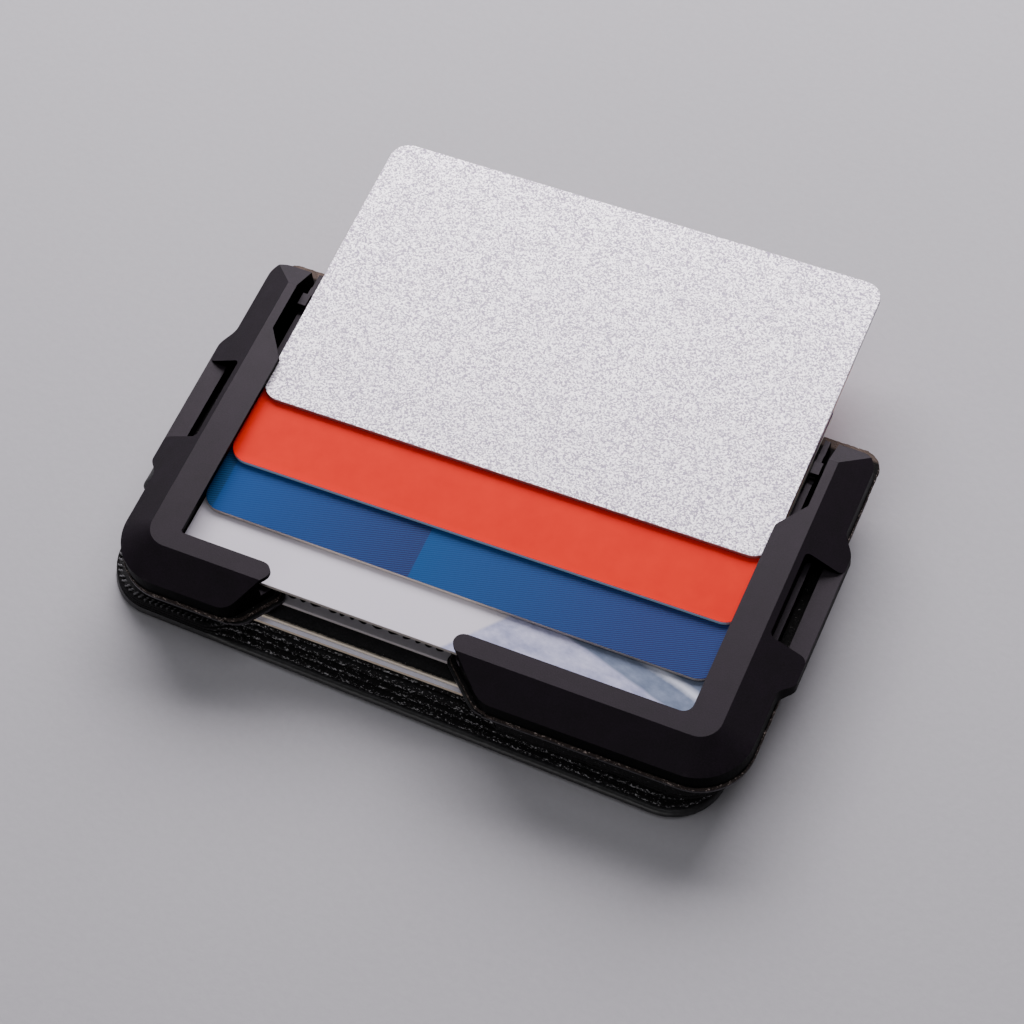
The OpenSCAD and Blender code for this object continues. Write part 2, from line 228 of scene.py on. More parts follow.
def raw_edge(name, dark, fibre, bright, share, raw_from=None, raw_to=None, sheen_from=None):
    """A cut edge of leather: dark, with pale fibre ends. share is how much of it is pale.

    It is rubbed smooth and dark left of raw_from and right of raw_to, and has a painted sheen, a paler
    brown-grey, beyond a given Y near its far edge.
    """
    paint = Paint(name, dark, Specular_IOR_Level=0.15)
    flakes = paint.grain(0.26, 2, 0.7, (0.6, 1, 0.9))
    patches = paint.grain(1.1, 3, 0.7)
    strands = paint.grain(0.14, 2, 0.6, (1, 1, 0.7))
    body = paint.mix(paint.ramp(strands, 0.35, 0.65), dark, fibre)
    if sheen_from is not None:
        # Painted sheen: a paler brown-grey band along the far edge.
        painted_sheen = paint.mix(strands, (0.07, 0.05, 0.042), (0.2, 0.15, 0.125))
        body = paint.mix(paint.ramp(paint.axis("Y"), sheen_from, sheen_from + 0.5), body, painted_sheen)
    lit = paint.ramp(patches, 0.3, 0.7, 0.08, -0.08)
    pale = paint.ramp(paint.maths("ADD", flakes, lit), 0.64 - share, 0.8 - share)
    if raw_from is not None:
        pale = paint.maths("MULTIPLY", pale, paint.ramp(paint.axis("X"), raw_from - 5, raw_from))
    if raw_to is not None:
        pale = paint.maths("MULTIPLY", pale, paint.ramp(paint.axis("X"), raw_to, raw_to + 3, 1, 0))
    paint.link("Base Color", paint.mix(pale, body, bright))
    paint.link("Roughness", paint.ramp(strands, 0.3, 0.7, 0.6, 0.9))
    paint.bump(paint.maths("ADD", flakes, strands), 0.2, 1.0)
    return paint.material


def waxed_thread():
    """Waxed thread, painted paler round the corners by the spine as a painted highlight, and darker further
    right as painted shade.
    """
    paint = Paint("thread", (0.05, 0.05, 0.05), Specular_IOR_Level=0.4)
    fibres = paint.grain(0.09, 3, 0.6, (1, 1, 1), 30)
    painted_highlight_tone = paint.mix(fibres, (0.07, 0.068, 0.072), (0.26, 0.255, 0.27))
    painted_shade_tone = paint.mix(fibres, (0.015, 0.014, 0.016), (0.07, 0.068, 0.072))
    # Painted light: paler at the corner as a painted highlight, and darker right of it as painted shade.
    paint.link("Base Color", paint.mix(paint.ramp(paint.axis("X"), -50, -43), painted_highlight_tone, painted_shade_tone))
    paint.link("Roughness", paint.ramp(fibres, 0.2, 0.8, 0.3, 0.55))
    paint.bump(fibres, 0.02, 0.5)
    return paint.material


def silver_sheet():
    """Bead-blasted metal with painted glints: every small dent is painted its own lightness, a painted
    highlight.
    """
    paint = Paint("silver_metal", (0.7, 0.7, 0.7), Metallic=1.0)
    dents = paint.add("SeparateXYZ", {0: paint.cells(0.22, "F1", "Color")}, "X")
    fine = paint.grain(0.19, 3, 0.8)
    cloudy = paint.grain(9, 2)
    glint = paint.sum_of(dents, 0.5, fine, 0.5)
    # Painted highlight: the glints are painted into the face colour.
    face = paint.mix(paint.ramp(glint, 0.36, 0.64), (0.34, 0.3, 0.38), (1.0, 0.96, 1.0))
    rim = paint.mix(cloudy, (0.35, 0.33, 0.36), (0.6, 0.57, 0.62))
    paint.link("Base Color", paint.mix(paint.sideways(), face, rim))
    paint.link("Roughness", paint.ramp(glint, 0.2, 0.8, 0.6, 0.4))
    paint.bump(glint, 0.07, 1.0)
    return paint.material


def finish_card(paint, face, rim, rough=(0.36, 0.48), weave=None):
    """The face print with the core showing on the cut rim, and a fine satin surface."""
    paint.shader.inputs["Specular IOR Level"].default_value = 0.1
    fine = paint.grain(0.25, 2)
    paint.link("Base Color", paint.mix(paint.sideways(), face, rim))
    paint.link("Roughness", paint.ramp(fine, 0.3, 0.7, *rough))
    height = fine if weave is None else paint.maths("ADD", fine, weave)
    paint.bump(height, 0.012, 0.5)
    return paint.material


def threads_of(paint, pitch, turn):
    """Diagonal threads pitch millimetres apart for a woven print, 0 to 1."""
    inputs = {"Vector": paint.where((1, 1, 1), turn), "Scale": BAND / (pitch * MM), "Distortion": 0.4}
    return paint.add("TexWave", inputs, "Fac", wave_type="BANDS", bands_direction="X")


def red_print(low_edge):
    """Red face, deeper beside its near edge, with a rim that is redder at the card's ends."""
    paint = Paint("red_plastic", (0.8, 0.08, 0.05))
    across = paint.axis("Y")
    cloudy = paint.grain(4, 3)
    face = paint.mix(paint.ramp(cloudy, 0.3, 0.7), (0.86, 0.012, 0.002), (0.93, 0.017, 0.003))
    band = paint.ramp(across, low_edge + 0.5, low_edge + 1.6, 1, 0)
    face = paint.mix(band, face, (1.0, 0.012, 0.002))
    ends = paint.ramp(paint.maths("ABSOLUTE", paint.facing("X")), 0.3, 0.7)
    rim = paint.mix(ends, (0.5, 0.72, 0.9), (1.0, 0.16, 0.05))
    return finish_card(paint, face, rim)


def blue_print():
    """Two woven blue panels that meet in a straight line, with a painted shadow as a darker band at the
    left end.
    """
    paint = Paint("blue_plastic", (0.03, 0.1, 0.3))
    along = paint.axis("X")
    shadow_band_edge, change = -40.5, -7.0
    left = paint.mix(paint.ramp(along, shadow_band_edge, change), (0.0, 0.05, 0.22), (0.018, 0.013, 0.08))
    right = paint.mix(paint.ramp(along, change, 30), (0.0, 0.055, 0.2), (0.022, 0.02, 0.11))
    face = paint.mix(paint.ramp(along, change - 0.05, change + 0.05), left, right)
    # Painted shadow: the card is painted dark at its left end.
    face = paint.mix(paint.ramp(along, shadow_band_edge - 0.3, shadow_band_edge), (0.001, 0.032, 0.09), face)
    twill = threads_of(paint, 0.34, 62)
    flecks = paint.ramp(paint.maths("ADD", twill, paint.grain(0.2, 2)), 0.7, 1.3, 0, 0.5)
    face = paint.mix(flecks, face, (0.02, 0.12, 0.36))
    return finish_card(paint, face, (0.85, 0.74, 0.66), (0.38, 0.5), twill)


def white_print():
    """Off-white, with a marbled pale blue field and a slate curve at the right end."""
    paint = Paint("white_plastic", (0.8, 0.8, 0.83))
    x, y = paint.axis("X"), paint.axis("Y")
    veins = paint.grain(3.2, 5, 0.65, (1, 1.6, 1), 25)
    field_edge = paint.maths("SUBTRACT", x, paint.maths("MULTIPLY", y, 0.86))
    field = paint.ramp(field_edge, 22.2, 22.9)
    marble = paint.mix(paint.ramp(veins, 0.35, 0.7), (0.38, 0.4, 0.6), (0.7, 0.7, 0.92))
    curve = paint.maths("ADD", x, paint.maths("MULTIPLY", y, 3.3))
    curve = paint.maths("ADD", curve, paint.maths("MULTIPLY", veins, 3.0))
    slate = paint.ramp(curve, -27.5, -26.0)
    shade = paint.mix(paint.ramp(veins, 0.3, 0.7), (0.14, 0.18, 0.27), (0.27, 0.32, 0.45))
    streak = paint.ramp(paint.maths("ABSOLUTE", paint.maths("ADD", curve, 12.5)), 0.5, 3.5, 1, 0)
    face = paint.mix(field, (0.82, 0.78, 0.86), marble)
    face = paint.mix(slate, face, shade)
    face = paint.mix(paint.maths("MULTIPLY", streak, slate), face, (0.78, 0.82, 0.96))
    return finish_card(paint, face, (0.4, 0.36, 0.33))


def grey_print(low_edge):
    """Grey, with a row of uneven dark dashes along the strip that shows below the white card."""
    paint = Paint("grey_plastic", (0.15, 0.14, 0.15))
    x, y = paint.axis("X"), paint.axis("Y")
    face = paint.mix(paint.grain(0.8, 4), (0.42, 0.4, 0.42), (0.52, 0.5, 0.52))
    pitch, wander, line = 2.1, 1.7, low_edge + 1.55
    drift = paint.maths("MULTIPLY", paint.grain(3.7, 1), wander)
    along = paint.maths("ADD", paint.maths("DIVIDE", x, pitch), drift)
    from_middle = paint.maths("SUBTRACT", paint.maths("FRACT", along), 0.5)
    taper = paint.product(from_middle, from_middle, 3.4)
    from_line = paint.maths("ABSOLUTE", paint.maths("SUBTRACT", y, line))
    dashes = paint.ramp(paint.maths("ADD", from_line, taper), 0.3, 0.38, 1, 0)
    face = paint.mix(dashes, face, (0.008, 0.008, 0.009))
    return finish_card(paint, face, (0.6, 0.55, 0.56))


def plain_print(name, dark, light, rim):
    """A plain face, softly uneven between two tones."""
    paint = Paint(name, light)
    return finish_card(paint, paint.mix(paint.grain(5, 3), dark, light), rim)


# ---------- outlines taken from the CAD solids ----------


def solids(node):
    """The node's welded mesh and its separate solids, each a list of faces."""
    whole = bmesh.new()
    whole.from_mesh(NODES[node].data)
    bmesh.ops.remove_doubles(whole, verts=whole.verts, dist=WELD)
    left, groups = dict.fromkeys(whole.faces), []
    while left:
        group, reached = [], [left.popitem()[0]]
        while reached:
            face = reached.pop()
            group.append(face)
            for edge in face.edges:
                for other in edge.link_faces:
                    if other in left:
                        del left[other]
                        reached.append(other)
        groups.append(group)
    return whole, groups


def outlines(faces, up):
    """Closed outlines of a solid's flat top (up = 1) or underside (up = -1), in millimetres.

    The solid lies on the left of every outline, seen from above.
    """
    flat = [f for f in faces if f.normal.z * up > 0.99]
    level = max(f.calc_center_median().z * up for f in flat)
    kept = {f for f in flat if abs(f.calc_center_median().z * up - level) < 2 * WELD}
    following = {}
    for face in flat:
        if face not in kept:
            continue
        for corner in face.loops:
            if sum(f in kept for f in corner.edge.link_faces) == 1:
                following[corner.vert] = corner.link_loop_next.vert
    rings = []
    while following:
        at, ring = next(iter(following)), []
        while at in following:
            ring.append(at.co.xy / MM)
            at = following.pop(at)
        rings.append(ring if up > 0 else ring[::-1])
    return rings


def spaced(ring, pitch):
    """The ring with even steps of about pitch along it, its corners kept."""
    corners = [ring[0]]
    for point in ring[1:]:
        if (point - corners[-1]).length > pitch / 3:
            corners.append(point)
    made = []
    for a, b in zip(corners, corners[1:] + corners[:1]):
        steps = max(1, round((b - a).length / pitch))
        made += [a.lerp(b, i / steps) for i in range(steps)]
    return made


def outwards(ring):
    """For each point of a ring, the direction away from the solid."""
    found = []
    for before, after in zip(ring[-1:] + ring[:-1], ring[1:] + ring[:1]):
        step = (after - before).normalized()
        found.append(Vector((step.y, -step.x)))
    return found


# ---------- leather pieces ----------

# Steps between vertices along an edge, and across a flat side.
RAW_PITCH = 0.21
FLAT_PITCH = 2.6
# A flat side's own points stay this far from its edge and from a stitch's middle.
EDGE_CLEAR = 1.2
SEAM_CLEAR = 1.9
# The colour of bare fibre ends.
RAW_BRIGHT = (0.6, 0.59, 0.61)
# The rear leaf's edges are rubbed smooth left of BURNISH_END and raw right of RAW_START.
BURNISH_END = -36
RAW_START = -31
# The front leaf's edge is pale and raw up to this X, past the thumb gap.
PANEL_RAW_END = 11
# The front pocket's face is rough nearer than this Y, and the mount leather's face has a painted sheen,
# a paler brown-grey, this far in from its far edge.
POCKET_MARGIN = -27.0
SHEEN_MARGIN = 1.9
# An edge's profile: for each share of the height, how far it lies inside the outline.
RAW_PROFILE = [(0.0, 0.14), (0.14, 0.03), (0.32, 0.0), (0.5, 0.0), (0.68, 0.0), (0.86, 0.03), (1.0, 0.14)]
# The sunken place round a stitch, in rings: share of the stitch's length, width beside it,
# share of the depth and number of points.
DIMPLE_DEPTH = 0.2
DIMPLE_RINGS = ((0, 0, 1.0, 1), (0.5, 0, 1.0, 2), (1.0, 0.22, 0.5, 10), (1.35, 0.5, 0.0, 10))
# Material slots of a leather piece; slot 0 is its underside.
EDGE_SLOT = 1
TOP_SLOT = 2


def round_profile(reach, steps=8):
    """The profile of a rolled edge that comes in by reach at its top and underside."""
    turns = [math.pi * i / steps for i in range(steps + 1)]
    return [((1 - math.cos(a)) / 2, reach * (1 - math.sin(a))) for a in turns]


def ragged(x, y, z, seed, size):
    """Cut fibres: small bulges of up to size along a raw edge."""
    coarse = noise.noise(Vector((x * 0.9, y * 0.9, seed * 7.1)))
    fine = noise.noise(Vector((x * 3.1, y * 3.1, z * 4.0 + seed * 3.3)))
    return size * (0.55 * coarse + fine)


def rawness(x, burnished):
    """1 where an edge is raw and 0 where it is rubbed smooth."""
    if not burnished:
        return 1
    return min(1, max(0, (x - BURNISH_END) / (RAW_START - BURNISH_END)))


def inside(points, rings):
    """For each point, whether it lies within the rings, holes left out."""
    starts = np.array([p for ring in rings for p in ring], float)
    ends = np.array([p for ring in rings for p in ring[1:] + ring[:1]], float)
    x, y = points[:, :1], points[:, 1:2]
    spans = (starts[:, 1] > y) != (ends[:, 1] > y)
    rise = np.where(ends[:, 1] == starts[:, 1], 1, ends[:, 1] - starts[:, 1])
    at = starts[:, 0] + (y - starts[:, 1]) / rise * (ends[:, 0] - starts[:, 0])
    return (spans & (at > x)).sum(1) % 2 == 1


def flat_points(rings, pitch, keep_off):
    """A staggered grid of points inside the rings."""
    edge = np.array([p for ring in rings for p in ring], float)
    low, high = edge.min(0), edge.max(0)
    rows = np.arange(low[1] + pitch / 2, high[1], pitch)
    grid = [
        (x, y)
        for i, y in enumerate(rows)
        for x in np.arange(low[0] + pitch * (0.25 + 0.5 * (i % 2)), high[0], pitch)
    ]
    grid = np.array(grid)
    clear = np.array([((edge - p) ** 2).sum(1).min() > keep_off**2 for p in grid])
    return grid[clear & inside(grid, rings)]


def cover_face(shape, rings, extra, height):
    """Fills one flat side between its edge vertices, with extra points (x, y, sink).

    height(x, y, sink) gives each extra point's Z.
    """
    verts = [v for ring in rings for v in ring]
    flat = [v.co.xy / MM for v in verts]
    edges, first = [], 0
    for ring in rings:
        count = len(ring)
        edges += [(first + i, first + (i + 1) % count) for i in range(count)]
        first += count
    places = flat + [Vector(p[:2]) for p in extra]
    out, _, triangles, origin, _, _ = geometry.delaunay_2d_cdt(places, edges, [], 0, 1e-6)
    made = []
    for point, sources in zip(out, origin):
        if sources and sources[0] < len(verts):
            made.append(verts[sources[0]])
        else:
            sink = extra[sources[0] - len(verts)][2] if sources else 0
            made.append(shape.verts.new(mm(point.x, point.y, height(point.x, point.y, sink))))
    middles = np.array([sum((out[i] for i in t), Vector((0, 0))) / 3 for t in triangles], float)
    kept = inside(middles, [[v.co.xy / MM for v in ring] for ring in rings])
    return [
        shape.faces.new([made[i] for i in t])
        for t, keep in zip(triangles, kept)
        if keep and len({made[i] for i in t}) == 3
    ]


def dimples(places):
    """Points that let the leather sink round each stitch: (x, y, sink)."""
    found = []
    for middle, along, length in places:
        side = Vector((-along.y, along.x))
        for share, width, depth, count in DIMPLE_RINGS:
            for i in range(count):
                turn = 2 * math.pi * i / count
                reach = along * (math.cos(turn) * share * length / 2)
                reach += side * (math.sin(turn) * width)
                found.append((middle.x + reach.x, middle.y + reach.y, DIMPLE_DEPTH * depth))
    return found


def edge_stack(shape, rings, low, high, profile, smooth_profile, seed, rag):
    """Rings of vertices up an edge, a set for each step of its profile."""
    normals = [outwards(ring) for ring in rings]
    stack = []
    for i, (share, inset) in enumerate(profile):
        z = low + (high - low) * share
        level = []
        for ring, away_from_ring in zip(rings, normals):
            made = []
            for point, away in zip(ring, away_from_ring):
                raw = rawness(point.x, smooth_profile)
                rubbed = 0 if raw == 1 else smooth_profile[i][1]
                bulge = ragged(point.x, point.y, z, seed, rag) - rag * 0.6
                out = raw * (bulge - inset) - (1 - raw) * rubbed
                made.append(shape.verts.new(mm(*(point + away * out), z)))
            level.append(made)
        stack.append(level)
    return stack


def join_edge(shape, stack):
    """The faces of an edge, between the rings of its stack."""
    for lower, upper in zip(stack, stack[1:]):
        for a, b in zip(lower, upper):
            for i in range(len(a)):
                j = (i + 1) % len(a)
                shape.faces.new((a[i], a[j], b[j], b[i])).material_index = EDGE_SLOT


def sunk_height(level, side, seed, wave, relief, x, y, sink):
    """Height of a flat side that sinks in soft waves, by its own relief and round its stitches."""
    shift = wave * noise.noise(Vector((x * 0.06, y * 0.06, seed * 5.7)))
    if relief:
        shift += relief(x, y)
    return level - side * (sink + abs(shift))


def leather(name, node, body, face_paint, edge_paint, profile=RAW_PROFILE, rag=0.2, seed=0,
            up=1, top_seam=(), low_seam=(), wave=0.0, relief=None, smooth_profile=None, top_paint=None):
    """A detailed piece of cut leather in the place of a CAD node.

    up says which flat side gives the outline: 1 for the top and -1 for the underside.
    smooth_profile is the edge's profile where it is burnished; without it, the edge is raw all round.
    top_paint, if given, covers the top face instead of face_paint.
    """
    source, groups = solids(node)
    shape = bmesh.new()
    for group in groups:
        heights = [v.co.z / MM for f in group for v in f.verts]
        low, high = min(heights), max(heights)
        rings = [spaced(ring, RAW_PITCH) for ring in outlines(group, up)]
        stack = edge_stack(shape, rings, low, high, profile, smooth_profile, seed, rag)
        join_edge(shape, stack)
        grid = [(*p, 0.0) for p in flat_points(rings, FLAT_PITCH, EDGE_CLEAR)]
        sides = ((high, stack[-1], top_seam, 1, TOP_SLOT), (low, stack[0], low_seam, -1, 0))
        for level, edge, seam, side, slot in sides:
            clear = [p for p in grid if all((Vector(p[:2]) - m).length > SEAM_CLEAR for m, _, _ in seam)]
            height = partial(sunk_height, level, side, seed, wave, relief)
            for face in cover_face(shape, edge, clear + dimples(seam), height):
                face.material_index = slot
    source.free()
    piece = into_object(name, shape, [face_paint, edge_paint, top_paint or face_paint], 48)
    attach(piece, body)
    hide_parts(node)
    return piece


def into_object(name, shape, paints, sharp):
    """A new object from a bmesh, smooth except at edges sharper than some degrees."""
    bmesh.ops.recalc_face_normals(shape, faces=shape.faces)
    mesh = bpy.data.meshes.new(name)
    shape.to_mesh(mesh)
    shape.free()
    for paint in paints:
        mesh.materials.append(paint)
    mesh.shade_smooth()
    mesh.set_sharp_from_angle(angle=math.radians(sharp))
    return into_scene(name, mesh)


def into_scene(name, data):
    """A new object in the scene, round its data."""
    made = bpy.data.objects.new(name, data)
    bpy.context.scene.collection.objects.link(made)
    return made


def add_tube(shape, rings):
    """A closed tube through rings of points, with a cap at each end."""
    previous = None
    for points in rings:
        ring = [shape.verts.new(point) for point in points]
        if previous:
            for i in range(len(ring)):
                j = (i + 1) % len(ring)
                shape.faces.new((previous[i], previous[j], ring[j], ring[i]))
        else:
            shape.faces.new(ring[::-1])
        previous = ring
    shape.faces.new(previous)


# ---------- stitches ----------

PLY_R = 0.12
PLY_STEPS = 12
PLY_CORNERS = 7
# Half the turn, in radians, that a ply makes from one end of a thread to the other.
PLY_TWIST = 3.4
# The threads lie this many degrees off the seam's direction, in pairs this far each side of a place.
STITCH_SLANT = 58
THREAD_STEP = 0.48
# A thread lies this far into the leather, and its ends dive this much deeper.
THREAD_SINK = 0.03
THREAD_DIVE = 0.42


def stitch_places(node):
    """Middle, direction and length of each of a CAD node's stitches, in millimetres."""
    source, groups = solids(node)
    found = []
    for group in groups:
        points = np.array(sorted({tuple(v.co / MM) for f in group for v in f.verts}))
        middle = points.mean(0)
        along = np.linalg.svd(points - middle)[2][0]
        reach = np.abs((points - middle) @ along).max() * 2
        found.append((Vector(middle[:2]), Vector(along[:2]).normalized(), float(reach)))
    source.free()
    return sorted(found, key=lambda s: tuple(s[0]))


def thread(shape, middle, along, length, level, side):
    """Two twisted plies that come out of the leather, lie over it and go back in.

    level is the Z of the leather's surface, and side is 1 on a top face and -1 on an underside.
    """
    slant = math.radians(STITCH_SLANT)
    along = Vector((
        along.x * math.cos(slant) - along.y * math.sin(slant),
        along.x * math.sin(slant) + along.y * math.cos(slant),
        0,
    ))
    across = Vector((-along.y, along.x, 0))
    up = Vector((0, 0, side))
    turns = [2 * math.pi * k / PLY_CORNERS for k in range(PLY_CORNERS)]
    outline = [(across * math.cos(turn) + up * math.sin(turn)) * PLY_R for turn in turns]
    for ply in (0, math.pi):
        rings = []
        for i in range(PLY_STEPS + 1):
            s = 2 * i / PLY_STEPS - 1
            lift = -THREAD_SINK - THREAD_DIVE * abs(s) ** 5
            twist = ply + s * PLY_TWIST
            centre = Vector((middle.x, middle.y, level)) + along * (s * length / 2) + up * lift
            centre += (across * math.cos(twist) + up * math.sin(twist)) * PLY_R * 0.85
            rings.append([(centre + corner) * MM for corner in outline])
        add_tube(shape, rings)


def stitching(name, places, level, side, body, paint):
    """A pair of slanted threads at each place."""
    shape = bmesh.new()
    for middle, along, length in places:
        for step in (-THREAD_STEP, THREAD_STEP):
            thread(shape, middle + along * step, along, length, level, side)
    piece = into_object(name, shape, [paint], 60)
    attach(piece, body)
    return piece


# ---------- spine ----------

SPINE_THICK = 0.9
# The strip's ends are tucked this far under the leather of both leaves.
SPINE_TUCK = 0.7
SPINE_ARC_STEPS = 36
SPINE_LONG_STEPS = 40
SPINE_ROUND_STEPS = 6


def spine_section(half, radius):
    """The strip's outline across its thickness: (Y from its middle, distance from the hinge line)."""
    round_r = SPINE_THICK / 2
    reach, middle_r = half - round_r, radius - round_r
    turns = [math.pi * i / SPINE_ROUND_STEPS for i in range(SPINE_ROUND_STEPS + 1)]
    steps = [2 * reach * i / SPINE_LONG_STEPS - reach for i in range(1, SPINE_LONG_STEPS)]
    near_end = [(-reach - round_r * math.sin(a), middle_r - round_r * math.cos(a)) for a in turns]
    outer_face = [(y, radius) for y in steps]
    far_end = [(reach + round_r * math.sin(a), middle_r + round_r * math.cos(a)) for a in turns]
    inner_face = [(-y, radius - SPINE_THICK) for y in steps]
    return near_end + outer_face + far_end + inner_face


def creased(y, r, turn):
    """The distance r from the hinge line, changed by soft creases and a groove at the fold's middle."""
    if not 0 < turn < math.pi:
        return r
    crease = 0.1 * math.sin(turn) ** 2 * noise.noise(Vector((y * 0.35, turn * 2.2, 1.0)))
    return r + crease - 0.12 * math.exp(-((turn - math.pi / 2) / 0.09) ** 2)


def make_spine(paint):
    """The fold of the hide: a half round strip, slightly creased along the hinge line."""
    boxes = [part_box(node) for node in ("spine_front", "spine_rear")]
    low = Vector(map(min, *(box[0] for box in boxes))) / MM
    high = Vector(map(max, *(box[1] for box in boxes))) / MM
    radius, centre, middle_y = (high.z - low.z) / 2, (high.z + low.z) / 2, (high.y + low.y) / 2
    section = spine_section((high.y - low.y) / 2, radius)
    turns = [math.pi * i / SPINE_ARC_STEPS for i in range(SPINE_ARC_STEPS + 1)]
    path = [(SPINE_TUCK, 0.0)] + [(0.0, turn) for turn in turns] + [(SPINE_TUCK, math.pi)]
    rings = []
    for beyond, turn in path:
        ring = []
        for y, r in section:
            reach = creased(y, r, turn)
            x, z = high.x + beyond - reach * math.sin(turn), centre + reach * math.cos(turn)
            ring.append(mm(x, middle_y + y, z))
        rings.append(ring)
    shape = bmesh.new()
    add_tube(shape, rings)
    spine = into_object("spine_fold", shape, [paint], 50)
    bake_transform(spine)
    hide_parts("spine_front", "spine_rear")


# ---------- CAD nodes that are shown ----------

CARD_BEVEL = 0.08
# Only edges that turn by more than this many degrees are rounded.
BEVEL_ANGLE = 28


def finish_node(node, paint, width):
    """Gives a CAD node its material and rounds its sharp edges, without touching its mesh."""
    shape = NODES[node]
    shape.data.materials.clear()
    shape.data.materials.append(paint)
    weld = shape.modifiers.new("weld", "WELD")
    weld.merge_threshold = WELD
    flat = shape.modifiers.new("flat", "DECIMATE")
    flat.decimate_type = "DISSOLVE"
    flat.angle_limit = math.radians(1)
    bevel = shape.modifiers.new("bevel", "BEVEL")
    bevel.width = width * MM
    bevel.segments = 2
    bevel.limit_method = "ANGLE"
    bevel.angle_limit = math.radians(BEVEL_ANGLE)
    smooth = shape.modifiers.new("smooth", "WEIGHTED_NORMAL")
    smooth.keep_sharp = True


# ---------- camera, floor and light ----------

CAMERA_PLACE = (117.9, -197.3, 392.3)
CAMERA_AIM = (-0.7, 8.8, 0)
CAMERA_ROLL = -7.25
FOCAL_LENGTH = 101.25
FLOOR_REACH = 1.5
# The floor is this many metres under the wallet, so the two never share a plane.
FLOOR_DROP = 0.00002


def point_at(thing, target):
    """Turns a camera or a lamp towards a place."""
    thing.rotation_mode = "QUATERNION"
    thing.rotation_quaternion = (target - thing.location).to_track_quat("-Z", "Y")


def make_camera():
    """A long lens that looks down from the near right."""
    lens = bpy.data.cameras.new("camera")
    lens.sensor_width = 36
    lens.lens = FOCAL_LENGTH
    lens.clip_start = 0.01
    camera = into_scene("camera", lens)
    camera.location = mm(*CAMERA_PLACE)
    point_at(camera, mm(*CAMERA_AIM))
    camera.rotation_quaternion @= Quaternion((0, 0, 1), math.radians(CAMERA_ROLL))
    bpy.context.scene.camera = camera


def make_floor():
    """A plain pale floor."""
    paint = Paint("floor_paint", (0.5, 0.49, 0.52), Roughness=0.6)
    fine = paint.grain(1.2, 4, 0.6)
    paint.link("Base Color", paint.mix(fine, (0.47, 0.46, 0.49), (0.53, 0.52, 0.55)))
    paint.bump(fine, 0.1, 0.3)
    shape = bmesh.new()
    bmesh.ops.create_grid(shape, x_segments=6, y_segments=6, size=FLOOR_REACH)
    floor = into_object("floor", shape, [paint.material], 60)
    floor.location.z = -FLOOR_DROP


def soft_light(name, place, size, power, tint):
    """A large lamp that faces the wallet."""
    light = bpy.data.lights.new(name, "AREA")
    light.shape = "RECTANGLE"
    light.size, light.size_y = (s * MM for s in size)
    light.energy = power
    light.color = tint
    lamp = into_scene(name, light)
    lamp.location = mm(*place)
    point_at(lamp, mm(0, 0, 5))


def make_light():
    """A key from the far side, a weak fill from the near side and one from above, and a dim sky."""
    soft_light("key", (-180, 560, 420), (900, 420), 11.0, (1.0, 0.955, 1.0))
    soft_light("top", (60, 80, 900), (500, 500), 1.2, (0.97, 0.97, 1.0))
    soft_light("fill", (-150, -780, 260), (700, 160), 1.2, (1.0, 0.98, 0.98))
    world = bpy.data.worlds.new("studio")
    world.use_nodes = True
    sky = world.node_tree.nodes["Background"]
    sky.inputs["Color"].default_value = (0.8, 0.8, 0.86, 1)
    sky.inputs["Strength"].default_value = 0.12
    bpy.context.scene.world = world


# ---------- the wallet ----------

CARD_HALF_LENGTH = 42.8
CARD_NEAR = -26.9
CARD_FAR = 27.3


def card_shelf(x, y):
    """The leather sinks a little where no card lies behind it."""
    outside = max(abs(x) - CARD_HALF_LENGTH, CARD_NEAR - y, y - CARD_FAR, 0)
    return 0.14 * min(1, outside / 1.6)


# The seam lies sunk in the cover's underside, so it doesn't lift the wallet off the floor.
COVER_SEAM_LEVEL = 0.17

make_camera()
make_floor()
make_light()

matte_black = ((0.003, 0.003, 0.003), (0.01, 0.009, 0.011), 0.55, 0.75)
black_hide = hide("black_leather", *matte_black)
pocket_hide = hide("pocket_leather", *matte_black, rough_margin=POCKET_MARGIN)
cover_hide = hide("cover_leather", (0.006, 0.006, 0.007), (0.021, 0.02, 0.022), 0.45, 0.6, 0.7, 0.3)
cover_edge = hide("cover_edge", (0.005, 0.005, 0.005), (0.014, 0.013, 0.015), 0.4, 0.5, 1.6, 0.6)
raw_black = ((0.002, 0.002, 0.002), (0.014, 0.013, 0.014), RAW_BRIGHT)
dark_raw = raw_edge("dark_raw_edge", *raw_black, -0.04)
gap_raw = raw_edge("gap_raw_edge", *raw_black, 0.1, RAW_START, PANEL_RAW_END)
leaf_raw = raw_edge("leaf_raw_edge", *raw_black, 0.1, RAW_START)
flesh = raw_edge("flesh_side", *raw_black, 0.0, RAW_START)
mount_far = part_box("mount_leather")[1].y / MM
# The mount leather's face has a painted sheen along its far edge.
suede = raw_edge("mount_suede", (0.002, 0.002, 0.002), (0.01, 0.009, 0.009), (0.4, 0.37, 0.36), -0.03,
                 sheen_from=mount_far - SHEEN_MARGIN)
brown_raw = raw_edge("brown_raw_edge", (0.012, 0.009, 0.008), (0.05, 0.036, 0.03), (0.75, 0.62, 0.55), 0.05)
yarn = waxed_thread()

rear_seam = stitch_places("leaf_stitching")
front_seam = stitch_places("panel_stitching")

leather("mount_hide", "mount_leather", "chassis", suede, brown_raw, seed=1, rag=0.1)
leather("spacer_strips", "pocket_spacers", "chassis", black_hide, dark_raw, seed=2)
leather("partition_leather", "pocket_partition", "chassis", black_hide, dark_raw, seed=3, rag=0.12)
leather("upper_panel_leather", "upper_panel", "chassis", black_hide, gap_raw, seed=4,
        low_seam=front_seam, relief=card_shelf, top_paint=flesh)

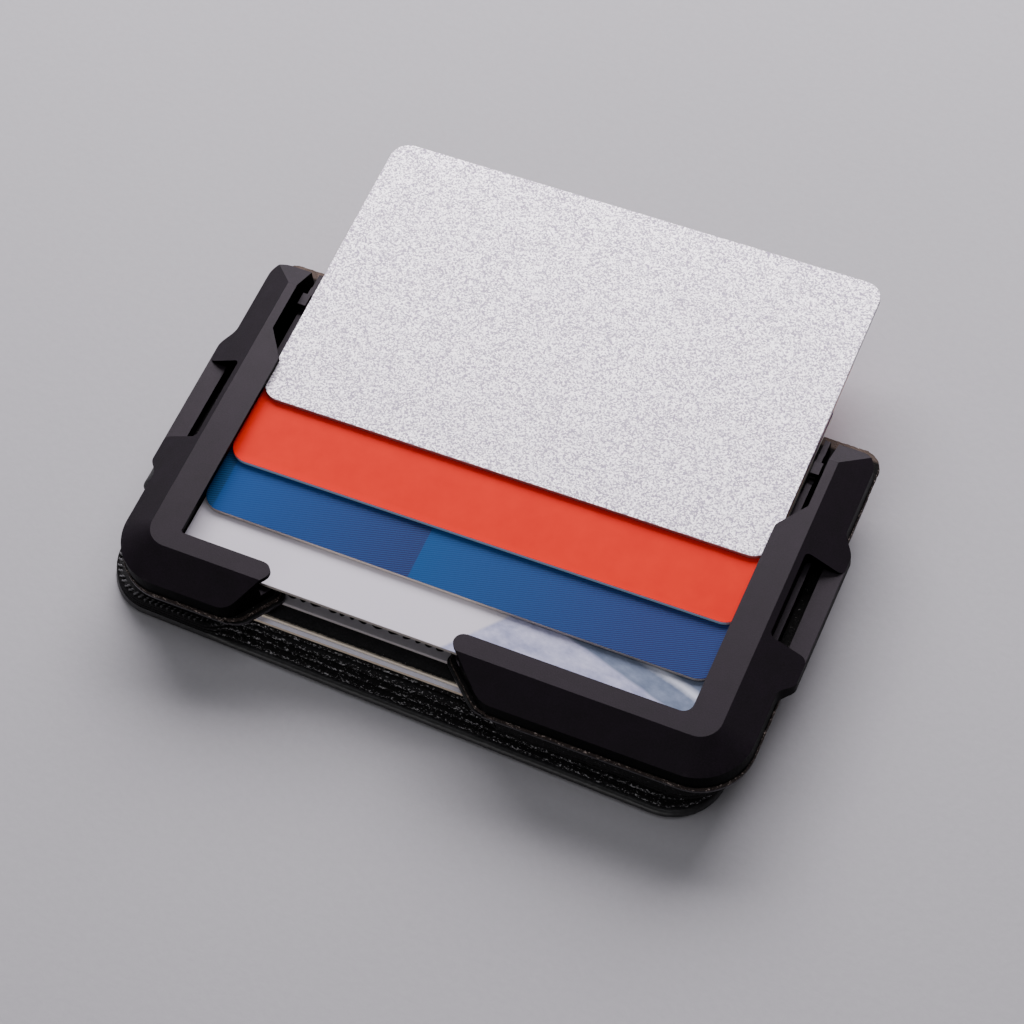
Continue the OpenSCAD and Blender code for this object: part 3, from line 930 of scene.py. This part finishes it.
flush = [(share, 0.0) for share, _ in RAW_PROFILE]
rolled_over = [(share, 0.55 * (1 - math.sqrt(1 - share**4))) for share, _ in RAW_PROFILE]
leather("lining_leather", "leaf_lining", "rear_leaf", black_hide, leaf_raw, seed=5,
        smooth_profile=flush, top_paint=flesh)
leather("back_pocket_leather", "back_pocket", "rear_leaf", black_hide, leaf_raw, seed=6,
        smooth_profile=flush, top_paint=flesh)
leather("front_pocket_leather", "front_pocket", "rear_leaf", pocket_hide, leaf_raw, seed=7,
        up=-1, top_seam=rear_seam, wave=0.06, smooth_profile=rolled_over)

rolled = round_profile(0.75)
rolled_under = [(share, inset if share < 0.5 else 0.35 * (2 * share - 1)) for share, inset in rolled]
leather("cover_hide", "back_cover", "rear_leaf", cover_hide, cover_edge, seed=8, rag=0.02,
        profile=rolled, low_seam=rear_seam, wave=0.05, smooth_profile=rolled_under)

panel_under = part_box("upper_panel")[0].z / MM
pocket_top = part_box("front_pocket")[1].z / MM
panel_thread = stitching("panel_thread", front_seam, panel_under, -1, "chassis", yarn)
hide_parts("panel_stitching")
pocket_thread = stitching("pocket_thread", rear_seam, pocket_top, 1, "rear_leaf", yarn)
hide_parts("leaf_stitching")
stitching("cover_thread", rear_seam, COVER_SEAM_LEVEL, -1, "rear_leaf", yarn)
make_spine(cover_hide)

red_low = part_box("red_card")[0].y / MM
grey_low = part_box("grey_card")[0].y / MM
finish_node("chassis_frame", anodised(), 0.16)
finish_node("clamp_plate", plate_metal(), 0.1)
finish_node("clamp_screws", screw_metal(), 0.05)
finish_node("silver_card", silver_sheet(), 0.1)
cream = plain_print("cream_plastic", (0.62, 0.53, 0.42), (0.72, 0.64, 0.53), (0.9, 0.79, 0.64))
pale = plain_print("pale_plastic", (0.78, 0.78, 0.95), (0.88, 0.88, 1.0), (0.74, 0.62, 0.5))
prints = {
    "red_card": red_print(red_low),
    "blue_card": blue_print(),
    "white_card": white_print(),
    "grey_card": grey_print(grey_low),
    "pocket_card_upper": cream,
    "pocket_card_lower": pale,
}
for card, paint in prints.items():
    finish_node(card, paint, CARD_BEVEL)
